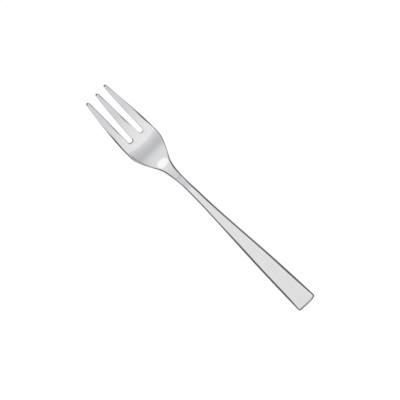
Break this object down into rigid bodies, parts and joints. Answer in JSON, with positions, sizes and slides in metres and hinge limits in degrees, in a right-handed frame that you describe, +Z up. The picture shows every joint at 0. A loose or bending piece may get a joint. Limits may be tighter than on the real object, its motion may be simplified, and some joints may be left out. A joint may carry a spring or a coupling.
{
  "type": "pastry fork",
  "caption": "Polished steel pastry fork with a flat tapering handle, an arched neck, a slightly dished bowl and slim tines that spear small pieces of cake.",
  "frame": {"origin": "on the centre line, half way between the handle end and the tips, at the height of the lowest point, so that the fork lies on Z = 0", "axes": "+X from the handle end towards the tips of the tines, +Y to the left, +Z up, out of the hollow side"},
  "size_m": [0.15, 0.0198, 0.0107],
  "materials": {
    "polished_steel": "polished"
  },
  "bodies": {
    "root": {"handle": "polished_steel", "neck": "polished_steel", "bowl": "polished_steel", "left_tine": "polished_steel", "middle_tine": "polished_steel", "right_tine": "polished_steel"}
  },
  "joints": []
}
